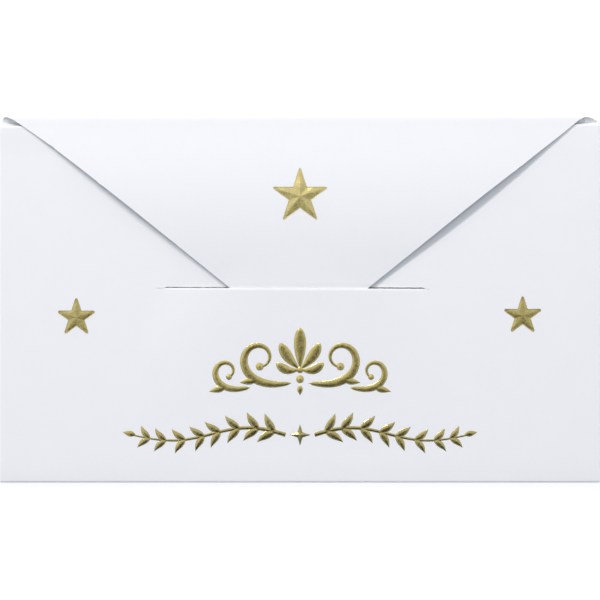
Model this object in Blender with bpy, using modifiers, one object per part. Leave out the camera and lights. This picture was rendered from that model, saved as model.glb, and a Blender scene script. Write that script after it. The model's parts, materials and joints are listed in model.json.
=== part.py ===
"""Money holder card: one die-cut blank of white card, folded into a flat pocket for banknotes.

A V-shaped closure flap comes down from the top crease and its tip is tucked through a slit in the
front panel. Gold foil stars and a scroll and sprig ornament are stamped on the front.

The card lies on its back panel: X runs across it, Y towards the top crease, Z up through the
layers. The origin is under its middle, and every size is in metres.
"""

import math

import bmesh
import bpy
from mathutils import Matrix

# Card stock and the air between folded layers
STOCK = 0.0004
LAYER_GAP = 0.0003
FOLD_GAP = 0.0003
FOLD_STEPS = 10

# Outside of the closed card
CARD_WIDTH = 0.180
CARD_HEIGHT = 0.110

# Back panel: cuts at its two top corners, across and down
CORNER_CUT_LEFT = 0.0012
CORNER_CUT_RIGHT = 0.0018

# Front panel and the slit across it, both measured down from the top crease
FRONT_TOP_DROP = 0.0034
SLIT_DROP = 0.0517
SLIT_LENGTH = 0.0788
SLIT_SHIFT = -0.0016
SLIT_OPENING = 0.0011
SLIT_CLEARANCE = 0.0005

# Glue flaps inside the two sides, and the strips of glue on them
GLUE_FLAP_WIDTH = 0.0120
GLUE_FLAP_TOP_DROP = 0.0018
GLUE_FLAP_BOTTOM_RISE = 0.0022
GLUE_FLAP_TAPER = 0.0033
GLUE_STRIP_WIDTH = 0.0070
GLUE_STRIP_END = 0.0090
GLUE_CLEARANCE = 0.0001

# Closure flap: the sides of its V start inset from the card's corners and would meet at its reach.
# They are cut slightly hollow: deepest halfway down, or nearer to the crease where early is below 1
FLAP_REACH = 0.0690
FLAP_INSET_LEFT = 0.0018
FLAP_INSET_RIGHT = 0.0045
FLAP_HOLLOW_LEFT = 0.0019
FLAP_HOLLOW_RIGHT = 0.0006
FLAP_HOLLOW_EARLY = 0.6
FLAP_TIP_RADIUS = 0.0080
FLAP_BOW = 0.0012
FLAP_ROWS = 16
TIP_ROWS = 6
TUCK_SLOPE = math.radians(65)
TUCK_LEAD = 0.0003

# Foil: clearance under it, its own thickness, and how far the stars' peaks are embossed
FOIL_CLEARANCE = 0.0001
FOIL_THICKNESS = 0.0002
STAR_PEAK = 0.0003

# Stars, each placed from an edge that it keeps to
FLAP_STAR_DROP = 0.0241
FLAP_STAR_RADIUS = 0.0085
FLAP_STAR_WAIST = 0.0034
SIDE_STAR_INSET = 0.0230
SIDE_STAR_BELOW_SLIT = 0.0085
SIDE_STAR_RADIUS = 0.0057
SIDE_STAR_WAIST = 0.0023

# Upper ornament: a palmette over a bead and a drop, volutes and tendrils. Both ornaments are placed
# from the line midway between the slit and the base
UPPER_ABOVE_MIDDLE = 0.00485
ORNAMENT_GAP = 0.0006
PALMETTE_BOSS = 0.0011
PETAL_PAIRS = 2
PETAL_TURN = 37.0
PETAL_LENGTH = 0.0126
PETAL_END_LENGTH = 0.0074
PETAL_WIDTH = 0.0037
PETAL_END_WIDTH = 0.0027
PETAL_BOW = 0.0006
PETAL_BELLY = 1.5
PETAL_TIP = 0.6
BEAD_RADIUS = 0.0012
DROP_LENGTH = 0.0030
DROP_WIDTH = 0.0017
VOLUTE_LENGTH = 0.0350
VOLUTE_CURL = 370.0
VOLUTE_TILT = -6.0
VOLUTE_WIDTH = 0.0025
VOLUTE_BALL = 0.0012
TENDRIL_SETBACK = 0.0029
TENDRIL_LENGTH = 0.0240
TENDRIL_CURL = 350.0
TENDRIL_TILT = -10.0
TENDRIL_WIDTH = 0.0020
TENDRIL_BALL = 0.0009
SCROLL_THIN = 0.0007
SCROLL_STEPS = 32
SPUR_TURN = -34.0
SPUR_SHARE = 0.30
SPUR_LENGTH = 0.0054
SPUR_WIDTH = 0.0020

# Lower ornament: a leafy sprig each side of a four-point spark
LOWER_BELOW_MIDDLE = 0.01475
SPARK_RADIUS = 0.0032
SPARK_WAIST = 0.0011
SPRIG_GAP = 0.0012
SPRIG_LENGTH = 0.0462
SPRIG_WAVE = 0.0023
SPRIG_DROOP = 0.35
SPRIG_STEM = 0.0013
SPRIG_STEM_END = 0.0005
SPRIG_PAIRS = 8
SPRIG_STEPS = 24
LEAF_TURN = 44.0
LEAF_LENGTH = 0.0066
LEAF_END_LENGTH = 0.0046
LEAF_WIDTH = 0.0023
LEAF_END_WIDTH = 0.0017
LEAF_BOW = 0.00045
LEAF_BELLY = 0.8
LEAF_STEPS = 6
TIP_LEAF_LENGTH = 0.0040

# Places that follow from the sizes above
TOP = CARD_HEIGHT / 2
BOTTOM = -CARD_HEIGHT / 2
SIDE = CARD_WIDTH / 2
LAYER = STOCK + LAYER_GAP
BACK, POCKET, FRONT, OUTER = (layer * LAYER for layer in range(4))
SIDE_ROLL = (POCKET + STOCK - BACK) / 2
BOTTOM_ROLL = (FRONT + STOCK - BACK) / 2
TOP_ROLL = (OUTER + STOCK - BACK) / 2
SIDE_CREASE = SIDE - SIDE_ROLL
BOTTOM_CREASE = BOTTOM + BOTTOM_ROLL
TOP_CREASE = TOP - TOP_ROLL
SLIT = TOP - SLIT_DROP
ORNAMENT_MIDDLE = (SLIT + BOTTOM) / 2
FLAP_LEFT = -SIDE + FLAP_INSET_LEFT
FLAP_RIGHT = SIDE - FLAP_INSET_RIGHT
HALF_ROLL = math.pi / 2 * (TOP_ROLL - STOCK / 2)

MODEL = bpy.data.collections.new("money_holder_card")
CUTTERS = bpy.data.collections.new("cutters")


def clear_scene():
    for thing in list(bpy.data.objects):
        bpy.data.objects.remove(thing)
    for collection in (MODEL, CUTTERS):
        bpy.context.scene.collection.children.link(collection)


def finish(name, colour, roughness, metallic):
    material = bpy.data.materials.new(name)
    material.use_nodes = True
    shader = material.node_tree.nodes["Principled BSDF"]
    shader.inputs["Base Color"].default_value = (*colour, 1)
    shader.inputs["Roughness"].default_value = roughness
    shader.inputs["Metallic"].default_value = metallic
    return material


def card_finish(name):
    return finish(name, (0.83, 0.85, 0.88), 0.75, 0)


def foil_finish(name):
    return finish(name, (0.51, 0.43, 0.21), 0.35, 1)


def place(name, data, material, collection=MODEL):
    thing = bpy.data.objects.new(name, data)
    if material:
        data.materials.append(material)
    collection.objects.link(thing)
    return thing


def flat_curve(name, loops, bottom, thickness, material, collection=MODEL):
    """A flat piece cut from sheet: the first loop is its outline, and any others are holes."""
    curve = bpy.data.curves.new(name, "CURVE")
    curve.dimensions = "2D"
    curve.fill_mode = "BOTH"
    curve.extrude = thickness / 2
    for loop in loops:
        spline = curve.splines.new("POLY")
        spline.points.add(len(loop) - 1)
        for point, (x, y) in zip(spline.points, loop):
            point.co = (x, y, 0, 1)
        spline.use_cyclic_u = True
    thing = place(name, curve, material, collection)
    thing.location.z = bottom + thickness / 2
    return thing


def panel(name, outline, layer, holes=()):
    return flat_curve(name, (outline, *holes), layer, STOCK, card_finish(name))


def crease(name, upper_layer, length, middle, heading):
    """Half a tube of card that joins the back panel's edge to an edge in a layer above it.

    It bulges towards heading, in degrees about Z, and its straight length lies across that.
    """
    outer = (upper_layer + STOCK - BACK) / 2
    inner = outer - STOCK
    turns = [math.pi * (step / FOLD_STEPS - 0.5) for step in range(FOLD_STEPS + 1)]
    outline = [(outer * math.cos(turn), outer * math.sin(turn)) for turn in turns]
    outline += [(inner * math.cos(turn), inner * math.sin(turn)) for turn in reversed(turns)]
    thing = flat_curve(name, (outline,), 0, length, card_finish(name))
    thing.location = (*middle, outer)
    thing.rotation_euler = (math.pi / 2, 0, math.radians(heading))
    return thing


def sheet(name, rows, material):
    """A bent sheet of card through rows of (y, z, left, right), each a straight line across."""
    mesh = bpy.data.meshes.new(name)
    grid = bmesh.new()
    bmesh.ops.create_grid(grid, x_segments=2, y_segments=len(rows) - 1, size=0.5)
    for corner in grid.verts:
        y, z, left, right = rows[round((corner.co.y + 0.5) * (len(rows) - 1))]
        corner.co = (left + (right - left) * (corner.co.x + 0.5), y, z)
    grid.to_mesh(mesh)
    grid.free()
    thing = place(name, mesh, material)
    skin = thing.modifiers.new("card", "SOLIDIFY")
    skin.thickness = STOCK
    skin.offset = 0
    skin.use_even_offset = True
    return thing


def flap_edges(reach):
    """Left and right edge of the closure flap at a distance along it from the top crease's middle."""
    share = 1 - reach / FLAP_REACH
    hollow = math.sin(math.pi * (1 - share) ** FLAP_HOLLOW_EARLY)
    return FLAP_LEFT * share + FLAP_HOLLOW_LEFT * hollow, FLAP_RIGHT * share - FLAP_HOLLOW_RIGHT * hollow


def make_back_panel():
    edge = SIDE_CREASE - FOLD_GAP
    top = TOP_CREASE - FOLD_GAP
    left_ear = FLAP_LEFT - FOLD_GAP
    right_ear = FLAP_RIGHT + FOLD_GAP
    outline = [
        (-edge, BOTTOM_CREASE + FOLD_GAP),
        (edge, BOTTOM_CREASE + FOLD_GAP),
        (edge, TOP - CORNER_CUT_RIGHT),
        (right_ear, TOP),
        (right_ear, top),
        (left_ear, top),
        (left_ear, TOP),
        (-edge, TOP - CORNER_CUT_LEFT),
    ]
    return panel("back_panel", outline, BACK)


def make_front_panel():
    outline = [
        (-SIDE, BOTTOM_CREASE + FOLD_GAP),
        (SIDE, BOTTOM_CREASE + FOLD_GAP),
        (SIDE, TOP - FRONT_TOP_DROP),
        (-SIDE, TOP - FRONT_TOP_DROP),
    ]
    left, right = flap_edges(HALF_ROLL + TOP_CREASE - SLIT - SLIT_OPENING)
    slit = [
        (SLIT_SHIFT - SLIT_LENGTH / 2, SLIT),
        (SLIT_SHIFT + SLIT_LENGTH / 2, SLIT),
        (right + SLIT_CLEARANCE, SLIT + SLIT_OPENING),
        (left - SLIT_CLEARANCE, SLIT + SLIT_OPENING),
    ]
    return panel("front_panel", outline, FRONT, (slit,))


def make_bottom_crease():
    return crease("bottom_crease", FRONT, CARD_WIDTH, (0, BOTTOM_CREASE), -90)


def make_side(name, side):
    """The crease, glue flap and glue strip of the left side (-1) or the right side (1)."""
    low = BOTTOM + GLUE_FLAP_BOTTOM_RISE
    high = TOP - GLUE_FLAP_TOP_DROP
    heading = 0 if side > 0 else 180
    crease(f"{name}_side_crease", POCKET, high - low, (side * SIDE_CREASE, (low + high) / 2), heading)
    outer = SIDE_CREASE - FOLD_GAP
    inner = outer - GLUE_FLAP_WIDTH
    outline = [
        (side * outer, low),
        (side * inner, low + GLUE_FLAP_TAPER),
        (side * inner, high - GLUE_FLAP_TAPER),
        (side * outer, high),
    ]
    panel(f"{name}_glue_flap", outline, POCKET)
    middle = (outer + inner) / 2
    near = side * (middle - GLUE_STRIP_WIDTH / 2)
    far = side * (middle + GLUE_STRIP_WIDTH / 2)
    strip = [
        (near, low + GLUE_STRIP_END),
        (far, low + GLUE_STRIP_END),
        (far, high - GLUE_STRIP_END),
        (near, high - GLUE_STRIP_END),
    ]
    glue = finish(f"{name}_glue_strip", (0.72, 0.68, 0.55), 0.5, 0)
    film = LAYER_GAP - 2 * GLUE_CLEARANCE
    flat_curve(f"{name}_glue_strip", (strip,), POCKET + STOCK + GLUE_CLEARANCE, film, glue)


def make_top_crease():
    """The fold that carries the flap: full width to its middle, then narrowing with the flap."""
    radius = TOP_ROLL - STOCK / 2
    rows = []
    for step in range(FOLD_STEPS + 1):
        turn = math.pi * (step / FOLD_STEPS - 0.5)
        left, right = flap_edges(max(0, turn * radius))
        rows.append((TOP_CREASE + radius * math.cos(turn), TOP_ROLL + radius * math.sin(turn), left, right))
    return sheet("top_crease", rows, card_finish("top_crease"))


def flap_height(y):
    """Middle of the flap's thickness at y: it bows away from the front panel between its ends."""
    share = (TOP_CREASE - y) / (TOP_CREASE - SLIT - SLIT_OPENING)
    return OUTER + STOCK / 2 + FLAP_BOW * math.sin(math.pi * min(1, max(0, share)))


def tuck_line():
    """The two bends where the tongue dips through the slit: (y, z) above and below the panel."""
    high = OUTER + STOCK / 2
    low = POCKET + STOCK / 2
    run = (high - low) / math.tan(TUCK_SLOPE)
    middle = SLIT + SLIT_OPENING / 2
    return (middle + run / 2, high), (middle - run / 2, low)


def make_closure_flap(hinge):
    first = TOP_CREASE - FOLD_GAP
    last = tuck_line()[0][0] + TUCK_LEAD + FOLD_GAP
    rows = []
    for step in range(FLAP_ROWS + 1):
        y = first + (last - first) * step / FLAP_ROWS
        rows.append((y, flap_height(y), *flap_edges(HALF_ROLL + TOP_CREASE - y)))
    flap = sheet("closure_flap", rows, card_finish("closure_flap"))
    ride(flap, hinge)


def make_closure_tongue(hinge):
    """The flap's tip: down through the slit, then flat behind the front panel to a round end."""
    upper, lower = tuck_line()
    start = upper[0] + TUCK_LEAD
    reach = HALF_ROLL + TOP_CREASE - start
    rows = [(start, upper[1], *flap_edges(reach))]
    reach += TUCK_LEAD
    rows.append((*upper, *flap_edges(reach)))
    reach += math.dist(upper, lower)
    rows.append((*lower, *flap_edges(reach)))
    half_angle = math.atan((FLAP_RIGHT - FLAP_LEFT) / 2 / FLAP_REACH)
    round_middle = FLAP_REACH - FLAP_TIP_RADIUS / math.sin(half_angle)
    for step in range(TIP_ROWS):
        turn = half_angle + (math.pi / 2 - half_angle) * step / TIP_ROWS
        half = FLAP_TIP_RADIUS * math.cos(turn)
        y = lower[0] - (round_middle + FLAP_TIP_RADIUS * math.sin(turn) - reach)
        rows.append((y, lower[1], -half, half))
    tongue = sheet("closure_tongue", rows, card_finish("closure_tongue"))
    ride(tongue, hinge)


def ride(thing, hinge):
    """Hangs a piece on the hinge's empty, leaving it where it lies."""
    thing.parent = hinge
    thing.matrix_parent_inverse = Matrix.Translation(hinge.location).inverted()


def star_foil(name, centre, bottom, radius, waist):
    """A five-point star pressed into ten facets: a low ten-sided cone with every other corner drawn in."""
    mesh = bpy.data.meshes.new(name)
    star = bmesh.new()
    bmesh.ops.create_cone(
        star, cap_ends=True, segments=10, radius1=radius, radius2=0, depth=STAR_PEAK
    )
    base = min(star.faces, key=lambda face: face.calc_center_median().z)
    for corner in base.verts:
        turn = round(math.degrees(math.atan2(corner.co.x, corner.co.y)))
        point = turn % 72 == 0
        size = radius if point else waist
        corner.co.x = size * math.sin(math.radians(turn))
        corner.co.y = size * math.cos(math.radians(turn))
    rim = bmesh.ops.extrude_face_region(star, geom=[base])
    corners = [item for item in rim["geom"] if isinstance(item, bmesh.types.BMVert)]
    bmesh.ops.translate(star, verts=corners, vec=(0, 0, -FOIL_THICKNESS))
    bmesh.ops.delete(star, geom=[base], context="FACES")
    bmesh.ops.recalc_face_normals(star, faces=star.faces)
    star.to_mesh(mesh)
    star.free()
    thing = place(name, mesh, foil_finish(name))
    thing.location = (*centre, bottom + FOIL_THICKNESS + STAR_PEAK / 2)
    return thing


def make_stars(hinge):
    on_flap = OUTER + STOCK + FLAP_BOW + FOIL_CLEARANCE
    flap_star = star_foil(
        "flap_star_foil", (0, TOP - FLAP_STAR_DROP), on_flap, FLAP_STAR_RADIUS, FLAP_STAR_WAIST
    )
    ride(flap_star, hinge)
    on_front = FRONT + STOCK + FOIL_CLEARANCE
    for name, side in (("left", -1), ("right", 1)):
        centre = (side * (SIDE - SIDE_STAR_INSET), SLIT - SIDE_STAR_BELOW_SLIT)
        star_foil(f"{name}_star_foil", centre, on_front, SIDE_STAR_RADIUS, SIDE_STAR_WAIST)


def blade(root, heading, length, width, bow, belly, tip, steps):
    """Outline of a leaf or petal that grows from root towards heading, in radians.

    A larger belly widens it nearer to its end, and a tip below 1 rounds that end.
    """
    upper = []
    lower = []
    for step in range(steps + 1):
        share = step / steps
        half = width / 2 * math.sin(math.pi * share**belly) ** tip if 0 < step < steps else 0
        middle = bow * math.sin(math.pi * share)
        upper.append((share * length, middle + half))
        if half:
            lower.append((share * length, middle - half))
    cos, sin = math.cos(heading), math.sin(heading)
    points = upper + lower[::-1]
    return [(root[0] + u * cos - v * sin, root[1] + u * sin + v * cos) for u, v in points]


def leaf(root, heading, length, width, bow=0.0):
    return blade(root, heading, length, width, bow, LEAF_BELLY, 1, LEAF_STEPS)


def petal(root, heading, length, width, bow):
    return blade(root, heading, length, width, bow, PETAL_BELLY, PETAL_TIP, 2 * LEAF_STEPS)


def disc(centre, radius, steps=14):
    turns = [math.tau * step / steps for step in range(steps)]
    return [(centre[0] + radius * math.cos(t), centre[1] + radius * math.sin(t)) for t in turns]


def curling_line(start, tilt, length, curl):
    """Points (x, y, heading) along a line that sets out at tilt and bends ever more, by curl in all.

    Tilt and curl are in degrees, and each heading is in radians.
    """
    x, y = start
    line = []
    for step in range(SCROLL_STEPS + 1):
        line.append((x, y, math.radians(tilt + curl * (step / SCROLL_STEPS) ** 2)))
        heading = math.radians(tilt + curl * ((step + 0.5) / SCROLL_STEPS) ** 2)
        x += length / SCROLL_STEPS * math.cos(heading)
        y += length / SCROLL_STEPS * math.sin(heading)
    return line


def stroke(line, half_width):
    """Outline of a stroke along a line, whose half width depends on the share of its length."""
    left = []
    right = []
    for step, (x, y, heading) in enumerate(line):
        half = half_width(step / (len(line) - 1))
        left.append((x - half * math.sin(heading), y + half * math.cos(heading)))
        right.append((x + half * math.sin(heading), y - half * math.cos(heading)))
    return left + right[::-1]


def scroll(start, tilt, length, curl, width, ball):
    """Outlines of a scroll that swells, curls in to a ball and throws a leaf off its back."""
    line = curling_line(start, tilt, length, curl)

    def half_width(share):
        return (SCROLL_THIN + (width - SCROLL_THIN) * math.sin(math.pi * share**0.65) ** 1.3) / 2

    x, y, heading = line[round(SPUR_SHARE * SCROLL_STEPS)]
    spur = leaf((x, y), heading + math.radians(SPUR_TURN), SPUR_LENGTH, SPUR_WIDTH)
    return [stroke(line, half_width), disc(line[-1][:2], ball), spur]


def mirrored(outlines):
    return [[(-x, y) for x, y in outline] for outline in outlines]


def foil_solid(name, outline, thickness, material, collection):
    """A foil outline as a closed mesh that can be joined to others."""
    curve = flat_curve(name, (outline,), FRONT + STOCK + FOIL_CLEARANCE, thickness, None, collection)
    bpy.context.view_layer.update()
    mesh = bpy.data.meshes.new_from_object(curve.evaluated_get(bpy.context.evaluated_depsgraph_get()))
    matrix = curve.matrix_world.copy()
    bpy.data.objects.remove(curve)
    skin = bmesh.new()
    skin.from_mesh(mesh)
    bmesh.ops.remove_doubles(skin, verts=skin.verts, dist=0.000001)
    skin.to_mesh(mesh)
    skin.free()
    thing = place(name, mesh, material, collection)
    thing.matrix_world = matrix
    return thing


def foil_piece(name, outlines):
    """One stamped patch of foil: its outlines overlap, and are joined to the first."""
    patch = foil_solid(name, outlines[0], FOIL_THICKNESS, foil_finish(name), MODEL)
    for number, outline in enumerate(outlines[1:], 1):
        branch = foil_solid(f"{name}_branch_{number}", outline, FOIL_THICKNESS, None, CUTTERS)
        branch.hide_render = True
        branch.display_type = "WIRE"
        join = patch.modifiers.new(f"branch_{number}", "BOOLEAN")
        join.operation = "UNION"
        join.solver = "EXACT"
        join.object = branch
    return patch


def make_palmette(root):
    """Petals that fan out of a boss; gives back how far they reach to the side."""
    outlines = [disc(root, PALMETTE_BOSS)]
    for step in range(PETAL_PAIRS + 1):
        share = step / PETAL_PAIRS
        lean = math.radians(PETAL_TURN) * step
        length = PETAL_LENGTH + (PETAL_END_LENGTH - PETAL_LENGTH) * share
        width = PETAL_WIDTH + (PETAL_END_WIDTH - PETAL_WIDTH) * share
        outline = petal(root, math.pi / 2 - lean, length, width, -PETAL_BOW * step)
        outlines += [outline] if step == 0 else [outline, *mirrored([outline])]
    foil_piece("palmette_foil", outlines)
    return max(x for outline in outlines for x, y in outline)


def make_upper_ornament():
    root = (0, ORNAMENT_MIDDLE + UPPER_ABOVE_MIDDLE)
    palmette_side = make_palmette(root)
    bead = (0, root[1] - PALMETTE_BOSS - ORNAMENT_GAP - BEAD_RADIUS)
    bead_foot = bead[1] - BEAD_RADIUS
    foil_piece("bead_foil", [disc(bead, BEAD_RADIUS)])
    drop = leaf((0, bead_foot - ORNAMENT_GAP), -math.pi / 2, DROP_LENGTH, DROP_WIDTH)
    foil_piece("drop_foil", [drop])

    # The volute clears the bead at its start and the palmette where it curls back
    volute = (VOLUTE_TILT, VOLUTE_LENGTH, VOLUTE_CURL)
    curl = curling_line((0, 0), *volute)[SCROLL_STEPS // 2 :]
    curl_side = palmette_side + VOLUTE_WIDTH / 2 - min(x for x, y, heading in curl)
    start = (ORNAMENT_GAP + max(BEAD_RADIUS, curl_side), bead_foot)
    volute = scroll(start, *volute, VOLUTE_WIDTH, VOLUTE_BALL)
    foil_piece("right_volute_foil", volute)
    foil_piece("left_volute_foil", mirrored(volute))

    # The tendril starts under the volute's widest place, level with its lowest
    start = (max(x for x, y in volute[0]) - TENDRIL_SETBACK, min(y for x, y in volute[0]))
    tendril = scroll(
        start, TENDRIL_TILT, TENDRIL_LENGTH, TENDRIL_CURL, TENDRIL_WIDTH, TENDRIL_BALL
    )
    foil_piece("right_tendril_foil", tendril)
    foil_piece("left_tendril_foil", mirrored(tendril))


def sprig():
    """Outlines of the right-hand sprig: a waving stem, pairs of leaves and a leaf at its tip."""
    middle = ORNAMENT_MIDDLE - LOWER_BELOW_MIDDLE
    line = []
    for step in range(SPRIG_STEPS + 1):
        share = step / SPRIG_STEPS
        wave = SPRIG_WAVE * (1 - SPRIG_DROOP * share)
        rise = wave * math.tau * math.cos(math.tau * share)
        rise -= SPRIG_WAVE * SPRIG_DROOP * math.sin(math.tau * share)
        heading = math.atan2(rise, SPRIG_LENGTH)
        y = middle + wave * math.sin(math.tau * share)
        line.append((SPARK_RADIUS + SPRIG_GAP + share * SPRIG_LENGTH, y, heading))
    stem = stroke(line, lambda share: (SPRIG_STEM + (SPRIG_STEM_END - SPRIG_STEM) * share) / 2)
    outlines = [stem]
    for pair in range(SPRIG_PAIRS):
        share = (pair + 0.5) / (SPRIG_PAIRS + 0.5)
        x, y, heading = line[round(share * SPRIG_STEPS)]
        length = LEAF_LENGTH + (LEAF_END_LENGTH - LEAF_LENGTH) * share
        width = LEAF_WIDTH + (LEAF_END_WIDTH - LEAF_WIDTH) * share
        for side in (1, -1):
            turn = heading + side * math.radians(LEAF_TURN)
            outlines.append(leaf((x, y), turn, length, width, -side * LEAF_BOW))
    x, y, heading = line[-1]
    outlines.append(leaf((x - SPRIG_STEM, y), heading, TIP_LEAF_LENGTH, LEAF_END_WIDTH))
    return outlines


def make_lower_ornament():
    middle = ORNAMENT_MIDDLE - LOWER_BELOW_MIDDLE
    spark = []
    for corner in range(8):
        turn = math.tau * corner / 8
        radius = SPARK_WAIST if corner % 2 else SPARK_RADIUS
        spark.append((radius * math.cos(turn), middle + radius * math.sin(turn)))
    foil_piece("spark_foil", [spark])
    foil_piece("right_sprig_foil", sprig())
    foil_piece("left_sprig_foil", mirrored(sprig()))


def main():
    clear_scene()
    hinge = bpy.data.objects.new("flap_hinge", None)
    hinge.location = (0, TOP_CREASE, TOP_ROLL)
    MODEL.objects.link(hinge)
    make_back_panel()
    make_front_panel()
    make_bottom_crease()
    for name, side in (("left", -1), ("right", 1)):
        make_side(name, side)
    make_top_crease()
    make_closure_flap(hinge)
    make_closure_tongue(hinge)
    make_stars(hinge)
    make_upper_ornament()
    make_lower_ornament()


main()
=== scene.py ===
"""Looks of the money holder card: folded white card, a tucked flap and embossed gold foil.

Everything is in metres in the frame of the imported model: the card lies on its back panel, X runs
across it, Y towards the top crease and Z up through the layers.
"""

import json
import math
import random

import bmesh
import bpy
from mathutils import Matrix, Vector, noise


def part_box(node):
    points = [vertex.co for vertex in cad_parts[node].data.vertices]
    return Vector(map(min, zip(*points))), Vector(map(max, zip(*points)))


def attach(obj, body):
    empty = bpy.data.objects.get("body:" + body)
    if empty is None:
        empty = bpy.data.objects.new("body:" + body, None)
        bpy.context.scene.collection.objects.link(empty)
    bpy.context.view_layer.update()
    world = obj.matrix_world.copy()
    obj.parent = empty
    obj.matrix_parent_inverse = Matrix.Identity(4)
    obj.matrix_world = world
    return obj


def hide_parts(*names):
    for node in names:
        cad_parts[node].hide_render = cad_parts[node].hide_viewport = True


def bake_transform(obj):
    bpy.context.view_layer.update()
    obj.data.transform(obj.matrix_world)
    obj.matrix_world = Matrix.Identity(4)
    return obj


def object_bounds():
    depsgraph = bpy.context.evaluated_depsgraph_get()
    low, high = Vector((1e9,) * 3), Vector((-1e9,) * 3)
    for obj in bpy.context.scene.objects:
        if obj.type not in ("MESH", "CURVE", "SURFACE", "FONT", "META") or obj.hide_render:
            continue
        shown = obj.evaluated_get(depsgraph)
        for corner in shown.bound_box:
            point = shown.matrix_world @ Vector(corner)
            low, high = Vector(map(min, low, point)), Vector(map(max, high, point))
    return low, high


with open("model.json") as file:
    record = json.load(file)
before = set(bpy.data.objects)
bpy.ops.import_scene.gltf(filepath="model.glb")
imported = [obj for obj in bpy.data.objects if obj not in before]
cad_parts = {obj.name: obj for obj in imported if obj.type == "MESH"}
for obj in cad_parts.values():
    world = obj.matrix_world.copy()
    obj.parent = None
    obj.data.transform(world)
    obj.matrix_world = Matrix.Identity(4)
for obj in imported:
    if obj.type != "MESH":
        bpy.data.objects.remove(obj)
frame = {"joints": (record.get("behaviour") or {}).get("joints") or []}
CAD_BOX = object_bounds()

BACK_LOW, BACK_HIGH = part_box("back_panel")
FRONT_LOW, FRONT_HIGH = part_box("front_panel")
FOLD_LOW, FOLD_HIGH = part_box("top_crease")
FOOT_LOW, FOOT_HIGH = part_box("bottom_crease")
GLUE_FLAP_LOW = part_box("right_glue_flap")[0]
GLUE_LOW, GLUE_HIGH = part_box("right_glue_strip")
SIDE_FOLD_LOW, SIDE_FOLD_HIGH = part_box("right_side_crease")
HINGE = Vector(frame["joints"][0]["pos_m"])

# Card and its folds: middles of the sheet's thickness, and the radii they turn at
STOCK = BACK_HIGH.z - BACK_LOW.z
BACK_MIDDLE = BACK_LOW.z + STOCK / 2
POCKET_MIDDLE = GLUE_FLAP_LOW.z + STOCK / 2
FRONT_MIDDLE = FRONT_LOW.z + STOCK / 2
TOP_RADIUS = HINGE.z - STOCK / 2
FOOT_RADIUS = (FOOT_HIGH.z - FOOT_LOW.z - STOCK) / 2
SIDE_RADIUS = (SIDE_FOLD_HIGH.z - SIDE_FOLD_LOW.z - STOCK) / 2
HALF_ROLL = math.pi / 2 * TOP_RADIUS
FOLD_STEPS = 18
FOLD_TURNS = [math.pi * (step / FOLD_STEPS - 0.5) for step in range(FOLD_STEPS + 1)]
SEAM = 0.00002
NEARLY = 0.000001
CUT_EDGE_ROUND = 0.00005

# Foot fold: where it starts, how square it is pressed, and how its upper side droops
FOOT_START = FOOT_HIGH.y + 0.0003
FOOT_PRESSED = 0.5
FOOT_DROOP = 0.00012
FOOT_DROOP_REACH = 0.0060

# Top fold: how square it is pressed, how its top falls away outwards, and the stations round its upper half
TOP_PRESSED = 44
TOP_SLOPE = 0.075
TOP_FALL = 0.03
TOP_STATIONS = (0.999, 0.995, 0.985, 0.97, 0.95, 0.925, 0.89, 0.84, 0.75, 0.6, 0.4, 0.2)

# Back panel: its ears beside the flap, the slanting crease past which they lift to the fold, and how
# much of each ear's corner is cut off, with how suddenly
EAR_FOOT = 0.0515
EAR_CREASE = 0.0534
EAR_CREASE_SLANT = 0.16
EAR_SLOPE = 0.44
EAR_CURL_RADIUS = 0.0045
EAR_ROLL_WIDTH = 0.0011
EAR_TOP = HINGE.y + 0.00130
CORNER_LIFT_FROM = 0.079
CORNER_LIFT_WIDTH = 0.004
EAR_CUT_LEFT = (0.00105, 2.4)
EAR_CUT_RIGHT = (0.00138, 1.7)

# Slit: the line of its lower lip, and its gap beside the flap and over it, which is ragged
SLIT = 0.0033
SLIT_LENGTH = 0.0788
SLIT_SHIFT = -0.0016
SLIT_TILT = -0.0038
SLIT_LEFT = SLIT_SHIFT - SLIT_LENGTH / 2
SLIT_RIGHT = SLIT_SHIFT + SLIT_LENGTH / 2
SLIT_GAPS = (0.00030, 0.00042)
SLIT_GAP_FLAP = 0.0011
SLIT_GAP_MARGIN = 0.001
SLIT_GAP_FADE = 0.003
SLIT_GAP_END = 0.0012
SLIT_RAGGED = ((900, 0.00007), (2600, 0.00004))

# Front panel: how its lips flex, how deep and wide its cut edges roll, and its top edge, cut out of
# square with a lifted left corner
LIP_SWELL = 0.00128
LIP_SWELL_REACH = 0.048
LIP_SPREAD = 0.5
LIP_ARCH = 3
LIP_FALL = 1.5
LIP_ROLL = (0.00010, 0.00060)
LIP_ROLL_END = 0.0015
EDGE_ROLL_FALL = 1.6
UPPER_LIP_DIP = 0.00060
UPPER_LIP_REACH = 0.016
PANEL_WARP = ((28, 0.00003, 1.7),)
FRONT_TOP_RISE = (0.0004, 0.0010)
TOP_EDGE_ROLL = (0.00010, 0.00055)
LEFT_CORNER_LIFT = 0.00024
LEFT_CORNER_FROM = 0.066
LEFT_CORNER_SIZE = (0.014, 0.009)

# Glue flaps: how far their ends slant in, and how the glue's edges waver and round off at its ends
GLUE_FLAP_TAPERS = (0.0022, 0.0009)
GLUE_WAVER = 0.0002
GLUE_WAVER_SCALE = 260
GLUE_END = (0.0014, 0.002)
GLUE_SOAK = 0.0001

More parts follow.
